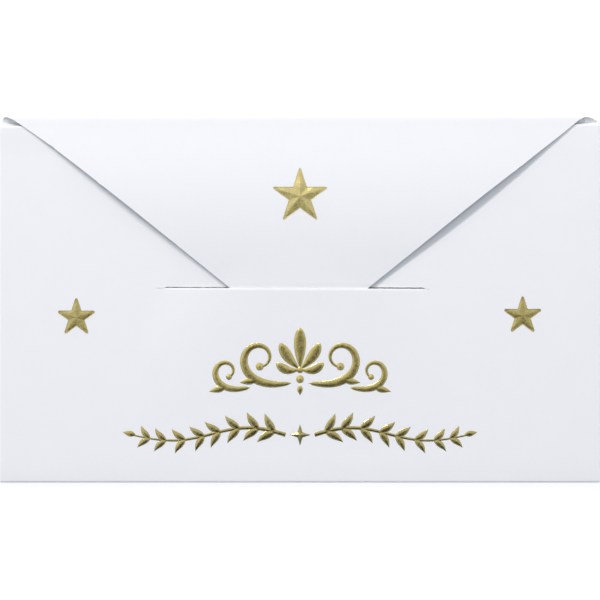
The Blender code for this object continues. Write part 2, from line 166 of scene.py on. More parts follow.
# Closure flap: its hollow sides, its pressed corners, its bow, and the tongue's dive behind the panel
FLAP_REACH = 0.0690
FLAP_TO_SLIT = HALF_ROLL + HINGE.y - SLIT - SLIT_GAP_FLAP
FLAP_HOLLOW_LEFT = 0.0018
FLAP_HOLLOW_EARLY = 0.55
FLAP_HOLLOW_RAMP = 0.0080
FLAP_HOLLOW_RIGHT = 0.0007
FLAP_HOLLOW_RIGHT_SPAN = (0.009, 0.029, 0.052, 0.069)
FLAP_SHOULDER_RIGHT = 0.0002
FLAP_SHOULDER_REACH = 0.010
CORNER_PRESS = (0.00010, 0.00028)
CORNER_PRESS_FROM = 0.048
CORNER_PRESS_WIDTH = 0.030
FLAP_BOW = 0.00110
FLAP_BOW_SHAPE = 1.25
FLAP_TIP_RADIUS = 0.0080
FLAP_LEAD = 0.00025
TONGUE_TIP = -0.0112
TONGUE_DIVE = 0.0012
TONGUE_TIP_HEIGHT = POCKET_MIDDLE + 0.00005
FLAP_CROWN = 0.00020
FLAP_CROWN_FROM = 0.019
FLAP_CROWN_SIZE = (0.0215, 0.015)
STAR_CORE = 0.0096
STAR_CORE_SHARE = 0.62
STAR_CORE_COLUMNS = 27
SIDE_COLUMNS = 13

# Torn nicks in the flap's edges: where each ends abruptly, how deep it is, and how it runs out upwards
NICKS_LEFT = ((0.0456, 0.00028, 0.0011), (0.0346, -0.00022, 0.0010))
NICKS_RIGHT = ((0.0410, -0.00020, -0.0013), (0.0389, -0.00027, -0.0008))
NICK_STEP = 0.2

# Foil: relief heights over the card's face; a swell is its place off the star's middle, reach and height
FOIL_SINK = 0.00003
SINK_STEP = 0.000002
FOIL_RIM = 0.00003
STAR_RIM = 0.00006
FLAP_STAR_EDGE = ((0.00018, 0.00003), (0.00050, 0.00008))
FLAP_STAR_PEAK = 0.00034
STAR_DENT = 0.00005
STAR_DENTS = ((420, STAR_DENT, 4.6), (1150, 0.35 * STAR_DENT, 7.2))
STAR_SWELLS = (
    (0.0005, 0.0034, 0.0021, 0.00019),
    (0.0027, 0.0014, 0.0015, 0.00012),
    (-0.0016, -0.0018, 0.0013, 0.00007),
    (-0.0043, 0.0012, 0.0012, 0.00005),
    (0.0030, -0.0040, 0.0016, 0.00005),
)
SIDE_STAR_EDGE = ((0.00018, 0.00002), (0.00060, 0.00012))
SIDE_STAR_PEAK = 0.00019
STAR_UNDERLAY = 0.00007
RIBBON_CREST = 0.00017
DISC_CREST = 0.00022
DISC_BORDER = 0.12
DISC_STEPS = 24
FULL_CREST_HALF = 0.0009
FULL_RIPPLE_HALF = 0.0003
FOIL_RIPPLE = ((1400, 0.000010, 0.3), (3800, 0.000005, 2))

# Stars: their middles, and the radii of their points, of their notches and of their rounded tips
FLAP_STAR = (0, 0.0309)
FLAP_STAR_SHAPE = (0.0085, 0.0035, 0.00032)
LEFT_STAR = (-0.0671, -0.0054)
RIGHT_STAR = (0.0668, -0.0049)
SIDE_STAR_SHAPE = (0.0058, 0.00255, 0.00042)

# Upper ornament: a palmette over a bead and a drop, volutes and tendrils. Pairs are the values for the
# first and the last of a row, or for the start and the end of a line. A blade's shape is where its belly
# lies, how blunt it is and its steps; a scroll's line is its tilt, length and curl, and its size is its
# greatest width and its end ball's radius
ORNAMENT_MIDDLE = (SLIT + FOOT_LOW.y) / 2
UPPER_ABOVE_MIDDLE = 0.00485
ORNAMENT_GAP = 0.0006
PALMETTE_BOSS = 0.0011
PETAL_PAIRS = 2
PETAL_TURN = 37.0
PETAL_LENGTHS = (0.0126, 0.0074)
PETAL_WIDTHS = (0.0037, 0.0027)
PETAL_BOW = 0.0006
PETAL_SHAPE = (1.5, 0.6, 24)
BEAD_RADIUS = 0.0012
DROP_LENGTH = 0.0030
DROP_WIDTH = 0.0017
VOLUTE_LINE = (-6.0, 0.0350, 370.0)
VOLUTE_SIZE = (0.0025, 0.0012)
TENDRIL_SETBACK = 0.0029
TENDRIL_LINE = (-10.0, 0.0240, 350.0)
TENDRIL_SIZE = (0.0020, 0.0009)
SCROLL_THIN = 0.0007
SCROLL_STEPS = 64
SPUR_TURN = -34.0
SPUR_SHARE = 0.30
SPUR_SIZE = (0.0054, 0.0020)

# Lower ornament: a leafy sprig each side of a four-point spark
LOWER_BELOW_MIDDLE = 0.01475
SPARK_RADIUS = 0.0032
SPARK_WAIST = 0.0011
SPARK_PROFILE = ((0, FOIL_RIM), (0.14, FOIL_RIM * 1.6), (0.3, 0.00013), (1, 0.00040))
SPRIG_GAP = 0.0012
SPRIG_LENGTH = 0.0462
SPRIG_WAVE = 0.0023
SPRIG_DROOP = 0.35
SPRIG_STEM_WIDTHS = (0.0013, 0.0005)
SPRIG_PAIRS = 8
SPRIG_STEPS = 48
LEAF_TURN = 44.0
LEAF_LENGTHS = (0.0066, 0.0046)
LEAF_WIDTHS = (0.0023, 0.0017)
LEAF_BOW = 0.00045
LEAF_SHAPE = (0.8, 1, 12)
TIP_LEAF_LENGTH = 0.0040

# Torn fibres in the slit: how far they keep from its ends and from the flap, how deep they are held,
# how far they slant and bend, and the share of them that is torn off
FIBRE_COUNT = 46
FIBRE_RADIUS = 0.000035
FIBRE_CLEAR = (0.0005, 0.001)
FIBRE_HOLD = 0.0001
FIBRE_SLANT = 0.0004
FIBRE_BEND = 0.0002
FIBRE_TORN = 0.4

# Camera, light and backdrop: a part of the sky has its direction and the angles over which it fades,
# and a light its size, power, colour, place and aim
CAMERA_PLACE = (0, -0.00015, 0.752)
CAMERA_LENS = 150
CAMERA_SENSOR = 36
KEY_PLACE = Vector((-0.33, 0.753, 0.574)).normalized() * 3
WINDOW_KEY = ((2.0, 0.38), 64.9, (1.0, 0.94, 0.90), KEY_PLACE, Vector((0, 0, 0)))
TOP_GLOW = ((0.34, 0.05), 0.05, (1, 1, 1), Vector((0, 0.16, 0.065)), Vector((0, HINGE.y, 0)))
SKY_SIDE = 0.7
SKY_LEFT = (0.75, 0.80, 0.85)
SKY_RIGHT = (0.94, 0.91, 0.865)
SKY_LOW = (0.14, 0.20, 0.31)
SKY_HORIZON = (1.0, 1.0, 1.0)
SKY_HORIZON_HEIGHT = (0.15, 0.24)
SKY_PLACE = ((-0.05, 0.22, 1.0), 35, 62)
BRIGHT_SPOT = (1.15, 1.15, 1.12)
BRIGHT_PLACE = ((-0.42, 0.32, 1.0), 8, 28)
DARK_SPOT = (0.03, 0.033, 0.035)
DARK_PLACE = ((0.04, -0.255, 1.0), 11.5, 15.5)
FLOOR_SIZE = 6.0
FLOOR_GAP = 0.00005
FLOOR_LIT = (0.88, 0.88, 0.88)
FLOOR_SHOWN = (0.25, 0.25, 0.25)
FLOOR_GLOW = (0.84, 0.84, 0.84)

random.seed(7)


def clamp(value, low=0.0, high=1.0):
    return min(high, max(low, value))


def ease(value):
    value = clamp(value)
    return value * value * (3 - 2 * value)


def between(ends, share):
    return ends[0] + (ends[1] - ends[0]) * share


def rough(x, y, layers):
    """Noise in layers, each with its scale, its height and a seed."""
    return sum(height * noise.noise((x * scale, y * scale, seed)) for scale, height, seed in layers)


def around(centre, radius, turn):
    return centre[0] + radius * math.cos(turn), centre[1] + radius * math.sin(turn)


def steps_towards(start, end, count):
    """The start and further points on a line towards the end, which isn't among them."""
    return [tuple(a + (b - a) * step / count for a, b in zip(start, end)) for step in range(count)]


def spread(start, end, step, dense=()):
    """Places from start to end about a step apart, closer inside each dense (from, to, step)."""
    marks = [start, end]
    for low, high, fine in dense:
        count = max(1, round((high - low) / fine))
        marks += [low + (high - low) * turn / count for turn in range(count + 1)]
    marks = sorted(mark for mark in set(marks) if start <= mark <= end)
    places = [marks[0]]
    for mark in marks[1:]:
        gap = mark - places[-1]
        if gap < 0.25 * min([step] + [fine for low, high, fine in dense]):
            continue
        count = max(1, math.ceil(gap / step - 0.01))
        places += [places[-1] + gap * (turn + 1) / count for turn in range(count)]
    places[-1] = end
    return places


def falling(share, power):
    """1 at a share of 0, and down to 0 at 1 and past it."""
    return max(0, 1 - share) ** power


def placed(name, data):
    """A new object in the scene."""
    thing = bpy.data.objects.new(name, data)
    bpy.context.scene.collection.objects.link(thing)
    return thing


def worked_mesh(thing):
    """A thing's mesh with its modifiers, or its curve's bevel, worked in."""
    bpy.context.view_layer.update()
    return bpy.data.meshes.new_from_object(thing.evaluated_get(bpy.context.evaluated_depsgraph_get()))


# Node groups and materials


def pattern_group(name, scale):
    """A pattern over a place, with a scale that can be set: it gives a tone and a height."""
    group = bpy.data.node_groups.new(name, "ShaderNodeTree")
    group.interface.new_socket("Place", in_out="INPUT", socket_type="NodeSocketVector")
    group.interface.new_socket("Scale", in_out="INPUT", socket_type="NodeSocketFloat").default_value = scale
    for label in ("Tone", "Height"):
        group.interface.new_socket(label, in_out="OUTPUT", socket_type="NodeSocketFloat")
    entry = group.nodes.new("NodeGroupInput").outputs
    return group, entry["Place"], entry["Scale"], group.nodes.new("NodeGroupOutput").inputs


def feed(tree, value, socket):
    """Give a socket a number, a colour or another socket's value."""
    if isinstance(value, bpy.types.NodeSocket):
        tree.links.new(value, socket)
    else:
        socket.default_value = (*value, 1) if isinstance(value, tuple) else value


def texture(tree, place, scale, detail, roughness=0.5, stretch=None):
    """Noise over a place, stretched along one way if asked."""
    if stretch:
        mapping = tree.nodes.new("ShaderNodeMapping")
        mapping.inputs["Scale"].default_value = stretch
        tree.links.new(place, mapping.inputs["Vector"])
        place = mapping.outputs["Vector"]
    node = tree.nodes.new("ShaderNodeTexNoise")
    for label, value in (("Vector", place), ("Scale", scale), ("Detail", detail), ("Roughness", roughness)):
        feed(tree, value, node.inputs[label])
    return node.outputs["Fac"]


def maths(tree, operation, first, second):
    node = tree.nodes.new("ShaderNodeMath")
    node.operation = operation
    feed(tree, first, node.inputs[0])
    feed(tree, second, node.inputs[1])
    return node.outputs[0]


def mixed(tree, first, second, share):
    """Two values added, the first by its share and the second by the rest."""
    first = maths(tree, "MULTIPLY", first, share)
    return maths(tree, "ADD", first, maths(tree, "MULTIPLY", second, 1 - share))


def ranged(tree, value, low, high, to_low, to_high):
    node = tree.nodes.new("ShaderNodeMapRange")
    tree.links.new(value, node.inputs["Value"])
    for label, number in (("From Min", low), ("From Max", high), ("To Min", to_low), ("To Max", to_high)):
        node.inputs[label].default_value = number
    return node.outputs["Result"]


def colour_between(tree, factor, first, second):
    """A mix of two colours, each given as numbers or as a socket."""
    mix = tree.nodes.new("ShaderNodeMix")
    mix.data_type = "RGBA"
    for number, value in ((0, factor), (6, first), (7, second)):
        feed(tree, value, mix.inputs[number])
    return mix.outputs[2]


def card_fibre_group():
    """Formation of the card: cloudy tone, fine fibres and their height."""
    group, place, scale, result = pattern_group("card_fibre", 5200)
    fleck = texture(group, place, 900, 2)
    fibre = texture(group, place, scale, 4, 0.65, (1.0, 0.45, 1.0))
    tone = mixed(group, texture(group, place, 110, 3), fleck, 0.6)
    group.links.new(ranged(group, tone, 0.3, 0.7, 0, 1), result["Tone"])
    group.links.new(mixed(group, fibre, fleck, 0.7), result["Height"])
    return group


def foil_crinkle_group():
    """Hot-stamped foil: it follows the card's fibres, with creases here and there."""
    group, place, scale, result = pattern_group("foil_crinkle", 1500)
    crinkle = texture(group, place, scale, 4, 0.65, (1.0, 0.7, 1.0))
    group.links.new(mixed(group, crinkle, texture(group, place, 5200, 2), 0.75), result["Height"])
    group.links.new(ranged(group, texture(group, place, 700, 2), 0.3, 0.7, 0, 1), result["Tone"])
    return group


def new_material(name):
    material = bpy.data.materials.new(name)
    material.use_nodes = True
    return material, material.node_tree, material.node_tree.nodes["Principled BSDF"].inputs


def make_finish(name, group, dark, light, roughness, strength, depth, scale=None, **metal):
    """A finish whose tone and relief follow a pattern, and its roughness too where that is a pair."""
    material, tree, shader = new_material(name)
    for label, value in metal.items():
        shader[label.replace("_", " ")].default_value = value
    pattern = tree.nodes.new("ShaderNodeGroup")
    pattern.node_tree = group
    tree.links.new(tree.nodes.new("ShaderNodeTexCoord").outputs["Object"], pattern.inputs["Place"])
    if scale:
        pattern.inputs["Scale"].default_value = scale
    tone = pattern.outputs["Tone"]
    tree.links.new(colour_between(tree, tone, dark, light), shader["Base Color"])
    if isinstance(roughness, tuple):
        roughness = ranged(tree, tone, 0, 1, *roughness)
    feed(tree, roughness, shader["Roughness"])
    bump = tree.nodes.new("ShaderNodeBump")
    for label, value in (("Strength", strength), ("Distance", depth), ("Height", pattern.outputs["Height"])):
        feed(tree, value, bump.inputs[label])
    tree.links.new(bump.outputs["Normal"], shader["Normal"])
    return material


def make_gold_foil(name, dark, light, gloss, crease):
    """Stamped foil: aluminium under a gold lacquer, from dark to light, with its creases' depth. Each copy's
    dark and light are painted lighter or darker for the light its patch catches.
    """
    lacquer = {"Metallic": 1.0, "Coat_Weight": 0.8, "Coat_Roughness": 0.2, "Coat_IOR": 1.8}
    return make_finish(name, CRINKLES, dark, light, gloss, 1.0, crease, **lacquer)


# The card's coated face, its die-cut edge, which is uncoated and whiter, and dried glue with its ripples
FIBRES = card_fibre_group()
CARD_WHITE = make_finish(
    "card_white", FIBRES, (0.832, 0.845, 0.866), (0.848, 0.860, 0.880), (0.70, 0.62), 0.25, 0.000012
)
CARD_CUT = make_finish(
    "card_cut_edge", FIBRES, (0.86, 0.87, 0.89), (0.90, 0.905, 0.915), 0.85, 0.6, 0.00003, 9000
)
DRIED_GLUE = make_finish(
    "dried_glue", FIBRES, (0.66, 0.62, 0.48), (0.76, 0.72, 0.60), 0.42, 0.5, 0.00005, 1400
)
CRINKLES = foil_crinkle_group()
# All four foils are one gold foil. Their base colours are painted lit and shaded copies: the flap star's is
# lightest, then the upper ornament's, then the side stars', and the lower ornament's is darkest. This stands
# in for how brightly each patch catches and reflects the light.
FLAP_STAR_FOIL_PAINTED_LIGHTER = make_gold_foil(
    "flap_star_foil", (0.59, 0.495, 0.18), (0.65, 0.55, 0.215), (0.25, 0.35), 0.00013
)
SIDE_STAR_FOIL_PAINTED_DARKER = make_gold_foil(
    "side_star_foil", (0.45, 0.365, 0.11), (0.51, 0.42, 0.135), (0.20, 0.30), 0.00009
)
UPPER_FOIL_PAINTED_TONE = make_gold_foil("upper_foil", (0.51, 0.42, 0.125), (0.59, 0.485, 0.155), (0.16, 0.24), 0.00006)
LOWER_FOIL_PAINTED_DARKER = make_gold_foil("lower_foil", (0.42, 0.345, 0.105), (0.49, 0.40, 0.130), (0.10, 0.16), 0.00006)


# Pieces of card


def place_piece(name, mesh, materials):
    for material in materials:
        mesh.materials.append(material)
    thing = placed(name, mesh)
    return thing


def mesh_from(name, build, doubles=2 * NEARLY, outward=True):
    """A mesh that build fills in, with doubled points joined and its faces turned outward."""
    mesh = bpy.data.meshes.new(name)
    skin = bmesh.new()
    build(skin)
    bmesh.ops.remove_doubles(skin, verts=skin.verts, dist=doubles)
    if outward:
        bmesh.ops.recalc_face_normals(skin, faces=skin.faces)
    skin.to_mesh(mesh)
    skin.free()
    mesh.shade_smooth()
    return mesh


def add_grid(skin, rows):
    """Faces between rows of points that all have as many points."""
    grid = [[skin.verts.new(point) for point in row] for row in rows]
    for low, high in zip(grid, grid[1:]):
        for corner in range(len(low) - 1):
            skin.faces.new((low[corner], low[corner + 1], high[corner + 1], high[corner]))
    return grid


def card_sheet(name, build):
    """A sheet with the card's thickness, its cut edges slightly rounded and with their own finish."""
    thing = place_piece(name, mesh_from(name, build), (CARD_WHITE, CARD_CUT))
    skin = thing.modifiers.new("card_stock", "SOLIDIFY")
    skin.thickness = STOCK
    skin.offset = 0
    skin.use_even_offset = True
    skin.material_offset_rim = 1
    rounding = thing.modifiers.new("cut_edge_round", "BEVEL")
    rounding.width = CUT_EDGE_ROUND
    rounding.segments = 2
    rounding.limit_method = "ANGLE"
    rounding.angle_limit = math.radians(60)
    rounding.harden_normals = True
    return thing


def flap_edges(reach):
    """Left and right edge of the closure flap at a distance along it from the top crease's middle."""
    along = reach / FLAP_REACH
    left = FLAP_HOLLOW_LEFT * math.sin(math.pi * along**FLAP_HOLLOW_EARLY)
    left *= min(1, reach / FLAP_HOLLOW_RAMP) ** 0.5
    begins, full, fades, ends = FLAP_HOLLOW_RIGHT_SPAN
    right = FLAP_HOLLOW_RIGHT * ease((reach - begins) / (full - begins))
    right *= ease((ends - reach) / (ends - fades))
    right -= FLAP_SHOULDER_RIGHT * math.sin(math.pi * min(1, reach / FLAP_SHOULDER_REACH))
    return FOLD_LOW.x * (1 - along) + left, FOLD_HIGH.x * (1 - along) - right


def slit_line(x):
    """Edge of the slit's lower lip at x."""
    return SLIT + SLIT_TILT * (x - SLIT_SHIFT)


def slit_share(x, widened=0.0):
    """0 in the middle of the slit and 1 at its ends."""
    return abs(x - SLIT_SHIFT) / (SLIT_LENGTH / 2 + widened)


def slit_end(x, length):
    """1 along the slit, down to 0 at its ends over a length."""
    return ease((1 - slit_share(x)) * SLIT_LENGTH / 2 / length)


def slit_gap(x):
    """How wide the slit stands open at x."""
    left, right = flap_edges(FLAP_TO_SLIT)
    closed = SLIT_GAPS[0] if x < SLIT_SHIFT else SLIT_GAPS[1]
    over_flap = ease((x - left + SLIT_GAP_MARGIN) / SLIT_GAP_FADE)
    over_flap *= ease((right + SLIT_GAP_MARGIN - x) / SLIT_GAP_FADE)
    (coarse, much), (fine, little) = SLIT_RAGGED
    ragged = much * noise.noise((x * coarse, 3.1, 0.7)) + little * noise.noise((x * fine, 8.3, 0))
    return max(0, (closed + (SLIT_GAP_FLAP - closed) * over_flap + ragged) * slit_end(x, SLIT_GAP_END))


def front_top(x):
    """Top edge of the front panel at x, cut a little out of square."""
    left, right = FRONT_TOP_RISE
    return FRONT_HIGH.y + left + (right - left) * clamp((x - FRONT_LOW.x) / (FRONT_HIGH.x - FRONT_LOW.x))


def edge_roll(inside, depth, width):
    """How far a cut edge is rolled down, at a distance inside it."""
    return depth * falling(inside / width, EDGE_ROLL_FALL)


def front_lift(x, y):
    """How far the front panel stands off its flat layer: a swell below the slit, a dip above it."""
    below = slit_line(x) - y
    warp = rough(x, y, PANEL_WARP)
    dome = falling(slit_share(x, LIP_SPREAD * abs(below)) ** LIP_ARCH, LIP_FALL)
    if below >= 0:
        swell = LIP_SWELL * dome * falling(below / LIP_SWELL_REACH, LIP_FALL)
        roll = slit_end(x, LIP_ROLL_END) * edge_roll(below, *LIP_ROLL)
        droop = FOOT_DROOP * clamp(1 - (y - FOOT_HIGH.y) / FOOT_DROOP_REACH) ** 2
        return swell - roll - droop + warp
    dip = UPPER_LIP_DIP * dome * falling(-below / UPPER_LIP_REACH, LIP_FALL)
    down = front_top(x) - y
    across, deep = LEFT_CORNER_SIZE
    corner = LEFT_CORNER_LIFT * ease((-x - LEFT_CORNER_FROM) / across) * ease(1 - down / deep)
    return warp + corner - edge_roll(down, *TOP_EDGE_ROLL) - dip


def front_face(x, y):
    return FRONT_MIDDLE + STOCK / 2 + front_lift(x, y)


def corner_press(x):
    """How far the flap's corners are pressed down towards the front panel."""
    left, right = CORNER_PRESS
    return (left if x < 0 else right) * ease((abs(x) - CORNER_PRESS_FROM) / CORNER_PRESS_WIDTH)


def flap_middle(x, y):
    """Middle of the flap's thickness, down to the slit and on behind the front panel to its tip."""
    rest = 2 * HINGE.z - STOCK / 2
    share = clamp((HINGE.y - y) / (HINGE.y - SLIT))
    height = rest + FLAP_BOW * math.sin(math.pi * share) ** FLAP_BOW_SHAPE
    if y < SLIT + TONGUE_DIVE:
        dive = (SLIT + TONGUE_DIVE - y) / (SLIT + TONGUE_DIVE - TONGUE_TIP)
        height += (TONGUE_TIP_HEIGHT - rest) * (1 - falling(dive, 1.5))
    half, reach = FLAP_CROWN_SIZE
    crown = FLAP_CROWN * ease((FLAP_CROWN_FROM - y) / reach) * min(1, (x / half) ** 2)
    return height - crown - corner_press(x)


def flap_face(x, y):
    return flap_middle(x, y) + STOCK / 2


def back_lift(x, y):
    """How far the back panel's corners lift towards the fold."""
    past = max(0, y - EAR_CREASE + EAR_CREASE_SLANT * (SIDE_FOLD_LOW.x - abs(x)))
    corner = ease((abs(x) - CORNER_LIFT_FROM) / CORNER_LIFT_WIDTH)
    return corner * (EAR_SLOPE * past + past**2 / (2 * EAR_CURL_RADIUS))


def fold_height(x, turn):
    """Middle of the card round the fold's lower half, from a turn of -90 degrees at the back."""
    return HINGE.z + TOP_RADIUS * math.sin(turn) + back_lift(x, HINGE.y) * (1 - math.sin(turn)) / 2


def make_back_sheet():
    """Back panel, with an ear at each top corner, where the panel ends beside the fold."""
    side = SIDE_FOLD_LOW.x - SEAM
    left_ear = FOLD_LOW.x - SEAM
    right_ear = FOLD_HIGH.x + SEAM
    top = HINGE.y - FLAP_LEAD - SEAM
    lifted = ((left_ear, -CORNER_LIFT_FROM, 0.0006), (CORNER_LIFT_FROM, right_ear, 0.0006))
    columns = spread(-side, side, 0.004, ((-side, left_ear, 0.00022), (right_ear, side, 0.0004), *lifted))
    rows = spread(FOOT_START - SEAM, top, 0.004, ((EAR_FOOT, top, 0.00025),))
    ear_rows = [y for y in rows if y >= EAR_FOOT - NEARLY] + spread(top, EAR_TOP, 0.00025)[1:]

    def point(x, y):
        """Lifted past the crease; right beside the fold an ear's end rolls up with it."""
        height = BACK_MIDDLE + back_lift(x, y)
        if y > HINGE.y:
            outward = max(0, left_ear - x, x - right_ear)
            near = ease(1 - outward / EAR_ROLL_WIDTH)
            turn = -math.acos(min(0.97, (y - HINGE.y) / TOP_RADIUS))
            height += (fold_height(x, turn) - height) * near
        return x, y, height

    def ear_edge(x):
        """Top edge of an ear: its outer corner is rounded off."""
        inner, (cut, shape) = (left_ear, EAR_CUT_LEFT) if x < 0 else (right_ear, EAR_CUT_RIGHT)
        return EAR_TOP - cut * clamp(abs(x - inner) / (side - abs(inner))) ** shape

    def build(skin):
        add_grid(skin, [[point(x, y) for x in columns] for y in rows if y <= EAR_FOOT + NEARLY])
        inside = [x for x in columns if left_ear - NEARLY <= x <= right_ear + NEARLY]
        add_grid(skin, [[point(x, y) for x in inside] for y in rows if y >= EAR_FOOT - NEARLY])
        left = [x for x in columns if x <= left_ear + NEARLY]
        right = [x for x in columns if x >= right_ear - NEARLY]
        for ear in (left, right):
            grid = []
            for y in ear_rows:
                share = (y - EAR_FOOT) / (EAR_TOP - EAR_FOOT)
                grid.append([point(x, between((EAR_FOOT, ear_edge(x)), share)) for x in ear])
            add_grid(skin, grid)

    sheet = card_sheet("back_sheet", build)
    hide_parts("back_panel")
    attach(sheet, "card")


def make_front_sheet():
    """Front panel with the fold at its foot, slit across."""
    left, right = FRONT_LOW.x, FRONT_HIGH.x
    columns = spread(left, right, 0.0016, (
        (SLIT_LEFT - 0.001, SLIT_LEFT + 0.002, 0.0003),
        (SLIT_RIGHT - 0.002, SLIT_RIGHT + 0.001, 0.0003),
        (SLIT_LEFT + 0.002, SLIT_RIGHT - 0.002, 0.0005),
        (left, left + 0.001, 0.0005),
        (right - 0.001, right, 0.0005),
    ))
    deep = SLIT - FOOT_START
    below_slit = [0.0001 * step for step in range(9)] + [0.0011, 0.0015, 0.002, 0.0028, 0.004]
    below_slit += spread(0.0055, deep, 0.0016)
    high = FRONT_HIGH.y - SLIT
    above_slit = [0, 0.0001, 0.0002, 0.0003, 0.0005, 0.0008, 0.0012, 0.0018, 0.0026, 0.0038]
    above_slit += spread(0.0052, high, 0.0016, ((high - 0.0008, high, 0.0001),))

    def build(skin):
        rows = [[(x, FOOT_START, BACK_MIDDLE) for x in columns]]
        for turn in FOLD_TURNS:
            y = FOOT_HIGH.y - FOOT_RADIUS * max(0, math.cos(turn)) ** FOOT_PRESSED
            z = BACK_MIDDLE + (FOOT_RADIUS - FOOT_DROOP / 2) * (1 + math.sin(turn))
            rows.append([(x, y, z) for x in columns])
        for below in reversed(below_slit):
            line = [(x, FOOT_START if below == deep else slit_line(x) - below) for x in columns]
            rows.append([(x, y, FRONT_MIDDLE + front_lift(x, y)) for x, y in line])
        lower = add_grid(skin, rows)
        upper_lip = [slit_line(x) + slit_gap(x) for x in columns]
        rows = []
        for above in above_slit:
            line = [(x, between((lip, front_top(x)), above / high)) for x, lip in zip(columns, upper_lip)]
            rows.append([(x, y, FRONT_MIDDLE + front_lift(x, y + NEARLY)) for x, y in line])
        upper = add_grid(skin, rows)
        for place, x in enumerate(columns):
            if slit_share(x) >= 1:
                upper[0][place].co = lower[-1][place].co

    sheet = card_sheet("front_sheet", build)
    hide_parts("front_panel", "bottom_crease")
    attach(sheet, "card")


def star_notch(waist):
    return waist * math.sin(math.radians(36)), waist * math.cos(math.radians(36))


def star_point(shape):
    """Where a point's straight edges would meet, past its rounded tip, and half the angle between them."""
    radius, waist, tip = shape
    notch_x, notch_y = star_notch(waist)
    apex = radius
    for _ in range(12):
        half = math.atan2(notch_x, apex - notch_y)
        apex = radius + tip / math.sin(half) - tip
    return apex, half


def star_share(x, y, centre, shape):
    """0 on a star's outline and 1 at its centre, negative outside it: each edge is a facet's foot."""
    across, up = x - centre[0], y - centre[1]
    turn = math.atan2(across, up) % math.radians(72)
    turn = min(turn, math.radians(72) - turn)
    reach = math.hypot(across, up)
    apex, half = star_point(shape)
    inside = (apex - reach * math.cos(turn)) * math.sin(half) - reach * math.sin(turn) * math.cos(half)
    return inside / (apex * math.sin(half))


def star_profile(shape, edge, peak):
    """(share of the way to the centre, height over the card): a rim, a groove, a shoulder, the peak."""
    apex, half = star_point(shape)
    deep = apex * math.sin(half)
    profile = [(0, STAR_RIM)] + [(inside / deep, height) for inside, height in edge]
    start, shoulder = profile[-1]
    for share in (0.15, 0.32, 0.5, 0.7, 0.88, 1):
        profile.append((start + (1 - start) * share, shoulder + (peak - shoulder) * share))
    return profile


def along_profile(profile, share):
    for (near, low), (far, high) in zip(profile, profile[1:]):
        if share <= far:
            return low + (high - low) * clamp((share - near) / (far - near))
    return profile[-1][1]


def nick(y, places):
    """How far the edge is torn in at y, or stands out, where the blank was held in its sheet."""
    for place, depth, length in places:
        share = (y - place) / length
        if -NICK_STEP < share < 1:
            return depth * min(1 - share, 1 + share / NICK_STEP)
    return 0


def make_closure_flap_sheet():
    """The flap as one sheet: the fold it turns on, the V down to the slit, and the tucked tongue."""
    half_angle = math.atan((FOLD_HIGH.x - FOLD_LOW.x) / 2 / FLAP_REACH)
    round_middle = FLAP_REACH - FLAP_TIP_RADIUS / math.sin(half_angle)
    round_start = round_middle + FLAP_TIP_RADIUS * math.sin(half_angle)
    profile = star_profile(FLAP_STAR_SHAPE, FLAP_STAR_EDGE, FLAP_STAR_PEAK)
    dense = [(0.0220, 0.0400, 0.00035), (0.0025, 0.0060, 0.0005)]
    for place, depth, length in NICKS_LEFT + NICKS_RIGHT:
        ends = sorted((place - NICK_STEP * length, place + length))
        dense.append((*ends, 0.00011))
    tip = HINGE.y + HALF_ROLL - round_middle - FLAP_TIP_RADIUS
    places = spread(tip + 0.00002, HINGE.y, 0.0013, dense + [(tip + 0.00002, tip + 0.002, 0.0002)])

    def edges(y):
        reach = HALF_ROLL + HINGE.y - y
        if reach < round_start:
            left, right = flap_edges(reach)
            return left + nick(y, NICKS_LEFT), right - nick(y, NICKS_RIGHT)
        half = math.sqrt(max(0, FLAP_TIP_RADIUS**2 - (reach - round_middle) ** 2))
        return -half, half

    def across(left, right):
        """Places across a row: close together over the star, wider out to the edges."""
        core = min(STAR_CORE, STAR_CORE_SHARE * right, -STAR_CORE_SHARE * left)
        middle = [core * (step / STAR_CORE_COLUMNS - 1) for step in range(2 * STAR_CORE_COLUMNS + 1)]
        outer = [step / SIDE_COLUMNS for step in range(1, SIDE_COLUMNS + 1)]
        to_left = [between((-core, left), share) for share in reversed(outer)]
        return to_left + middle + [between((core, right), share) for share in outer]

    def height(x, y):
        share = star_share(x, y, FLAP_STAR, FLAP_STAR_SHAPE)
        relief = along_profile(profile, share) - STAR_UNDERLAY - STAR_DENT if share > 0 else 0
        return flap_middle(x, y) + max(0, relief)

    def build(skin):
        left, right = flap_edges(0)
        lead = HINGE.y - FLAP_LEAD
        rows = [[(x, lead, BACK_MIDDLE + back_lift(x, lead)) for x in across(left, right)]]
        for turn in FOLD_TURNS[: FOLD_STEPS // 2 + 1]:
            y = HINGE.y + TOP_RADIUS * math.cos(turn)
            rows.append([(x, y, fold_height(x, turn)) for x in across(left, right)])
        for out in TOP_STATIONS:
            left, right = flap_edges(HALF_ROLL * (1 - out))
            y = HINGE.y + TOP_RADIUS * out
            rise = math.sqrt(1 - out**TOP_PRESSED)
            row = []
            for x, start in zip(across(left, right), rows[FOLD_STEPS // 2 + 1]):
                top = HINGE.z + TOP_RADIUS * (1 - TOP_SLOPE * out - TOP_FALL * out**2) - corner_press(x)
                row.append((x, y, start[2] + (top - start[2]) * rise))
            rows.append(row)
        for y in reversed(places):
            rows.append([(x, y, height(x, y)) for x in across(*edges(y))])
        add_grid(skin, rows)

    # The sheet's thickness is worked into its mesh and its modifiers dropped: left as modifiers on a turned
    # flap, they would spike where the fold turns back
    sheet = card_sheet("closure_flap_sheet", build)
    solid = worked_mesh(sheet)
    sheet.modifiers.clear()
    sheet.data = solid
    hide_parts("top_crease", "closure_flap", "closure_tongue")
    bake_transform(sheet)


